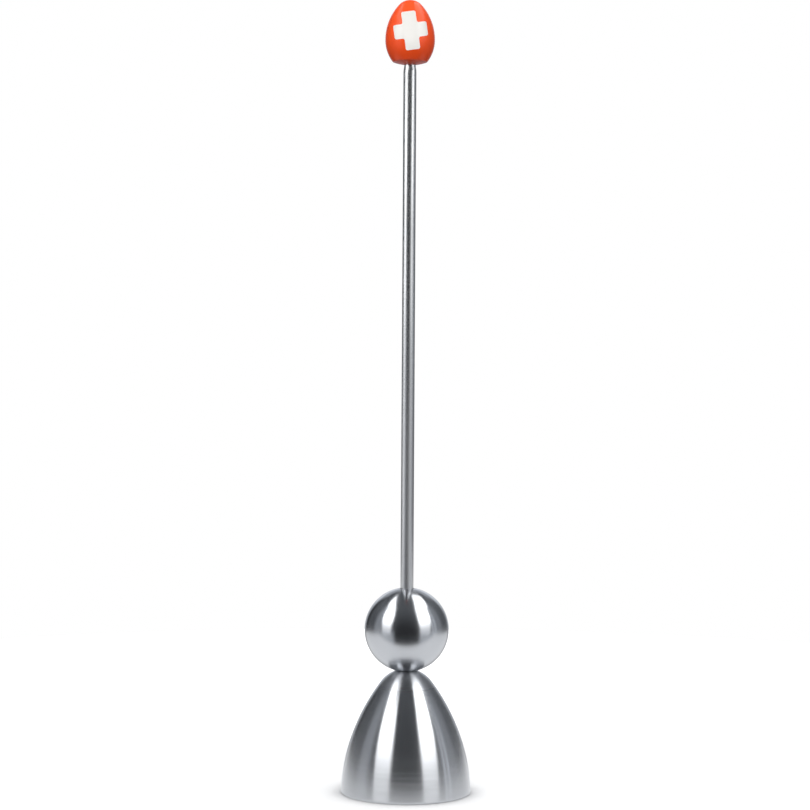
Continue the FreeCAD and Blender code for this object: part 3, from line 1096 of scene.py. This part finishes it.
    def make_floor(self) -> bpy.types.Object:
        """Makes the floor: white, open under the bell, ending a hand's breadth in front of it.

        Returns:
            Its object.
        """
        shell = bmesh.new()
        bmesh.ops.create_circle(shell, cap_ends=False, radius=self.floor_opening, segments=self.floor_sides)
        ring = bmesh.ops.extrude_edge_only(shell, edges=shell.edges[:])
        outer = [item for item in ring["geom"] if isinstance(item, bmesh.types.BMVert)]
        bmesh.ops.scale(shell, verts=outer, vec=Vector((1, 1, 0)) * (self.floor_reach / self.floor_opening))
        bmesh.ops.bisect_plane(
            shell, geom=[*shell.verts, *shell.edges, *shell.faces], plane_co=(0.0, -self.floor_front, 0.0),
            plane_no=(0.0, -1.0, 0.0), clear_outer=True,
        )
        bmesh.ops.recalc_face_normals(shell, faces=shell.faces)
        if sum(face.normal.z for face in shell.faces) < 0:
            bmesh.ops.reverse_faces(shell, faces=shell.faces)
        data = bpy.data.meshes.new("floor")
        shell.to_mesh(data)
        shell.free()
        data.materials.append(self.floor_material())
        floor = bpy.data.objects.new("floor", data)
        bpy.context.scene.collection.objects.link(floor)
        return floor

    def floor_material(self) -> bpy.types.Material:
        """Makes white paper that keeps the object's shadow, glows a little, and is clear from below. To the
        camera its glow is dimmed near the object and where the object shuts out the sky, which paints a soft
        contact shadow.

        Returns:
            The material.
        """
        material = bpy.data.materials.new("white_paper")
        material.use_nodes = True
        canvas = Canvas(material.node_tree)
        paper = opaque((self.floor_colour,) * 3)
        white = opaque((1.0,) * 3)
        place = canvas.value("ShaderNodeTexCoord", output="Object")
        distance = canvas.value("ShaderNodeVectorMath", {"operation": "LENGTH"}, {0: place}, output="Value")
        path = canvas.node("ShaderNodeLightPath")
        seen, mirrored = (Value(canvas, path.outputs[name]) for name in ("Is Camera Ray", "Is Glossy Ray"))
        far = canvas.step(distance, *self.floor_shadow_reach)
        across, away, _ = canvas.split(place)
        rear = canvas.step(azimuth_of(across, away), *self.floor_rear)
        # Painted contact shadow: the camera sees less glow where ambient occlusion finds the object close by,
        # and less near the object than far from it. In reflections the glow is even, except behind the
        # object.
        sky = canvas.value(
            "ShaderNodeAmbientOcclusion", {"samples": self.contact_samples}, {"Distance": self.contact_reach},
            output="AO",
        )
        open_sky = canvas.step(sky, *self.contact_range)
        shown = open_sky * (self.floor_near_glow + far * (1 - self.floor_near_glow))
        strength = mirrored * self.floor_glow * (1 - rear) + seen * shown
        diffuse = canvas.node("ShaderNodeBsdfDiffuse", inputs={"Color": paper})
        glow = canvas.node("ShaderNodeEmission", inputs={"Color": white, "Strength": strength})
        lit = canvas.node("ShaderNodeAddShader", inputs={0: diffuse.outputs[0], 1: glow.outputs[0]})
        clear = canvas.node("ShaderNodeBsdfTransparent", inputs={"Color": white})
        behind = canvas.node("ShaderNodeNewGeometry").outputs["Backfacing"]
        shader = canvas.node(
            "ShaderNodeMixShader", inputs={0: behind, 1: lit.outputs[0], 2: clear.outputs[0]}
        )
        canvas.node("ShaderNodeOutputMaterial", inputs={"Surface": shader.outputs[0]})
        return material

    def make_surroundings(self) -> None:
        """Makes the world: white to the camera, and the studio's walls to everything that it lights."""
        world = bpy.data.worlds.new("studio")
        bpy.context.scene.world = world
        world.use_nodes = True
        canvas = Canvas(world.node_tree)
        direction = canvas.value("ShaderNodeTexCoord", output="Generated")
        across, away, up = canvas.split(direction)
        azimuth = azimuth_of(across, away)
        elevation = up.math("ARCSINE") * math.degrees(1.0)
        rise = canvas.step(elevation, 0.0, self.gloom_top)
        light = self.gloom_low + rise * (self.gloom_high - self.gloom_low)
        for patch in self.patches:
            reach = canvas.band(azimuth, *patch.azimuths, patch.edge)
            if patch.side is not None:
                reach = reach * (across * patch.side.value).math("GREATER_THAN", 0.0)
            light = reach * canvas.band(elevation, *patch.elevations, patch.edge) * patch.strength + light
        seen = canvas.value("ShaderNodeLightPath", output="Is Camera Ray")
        strength = seen + (1 - seen) * light
        colour = canvas.mix(seen, self.cool, (1.0, 1.0, 1.0))
        background = canvas.node("ShaderNodeBackground", inputs={"Color": colour, "Strength": strength})
        canvas.node("ShaderNodeOutputWorld", inputs={"Surface": background.outputs[0]})


def main() -> None:
    """Builds the sub-assemblies and the studio in order."""
    logging.basicConfig(level=logging.INFO, format="%(name)s: %(message)s")
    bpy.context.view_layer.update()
    bell, ball, rod = Bell().build(), Ball().build(), Rod().build()
    Fasteners().build()
    Knob().build()
    Studio().build(bell, ball, rod)


if __name__ == "__main__":
    main()
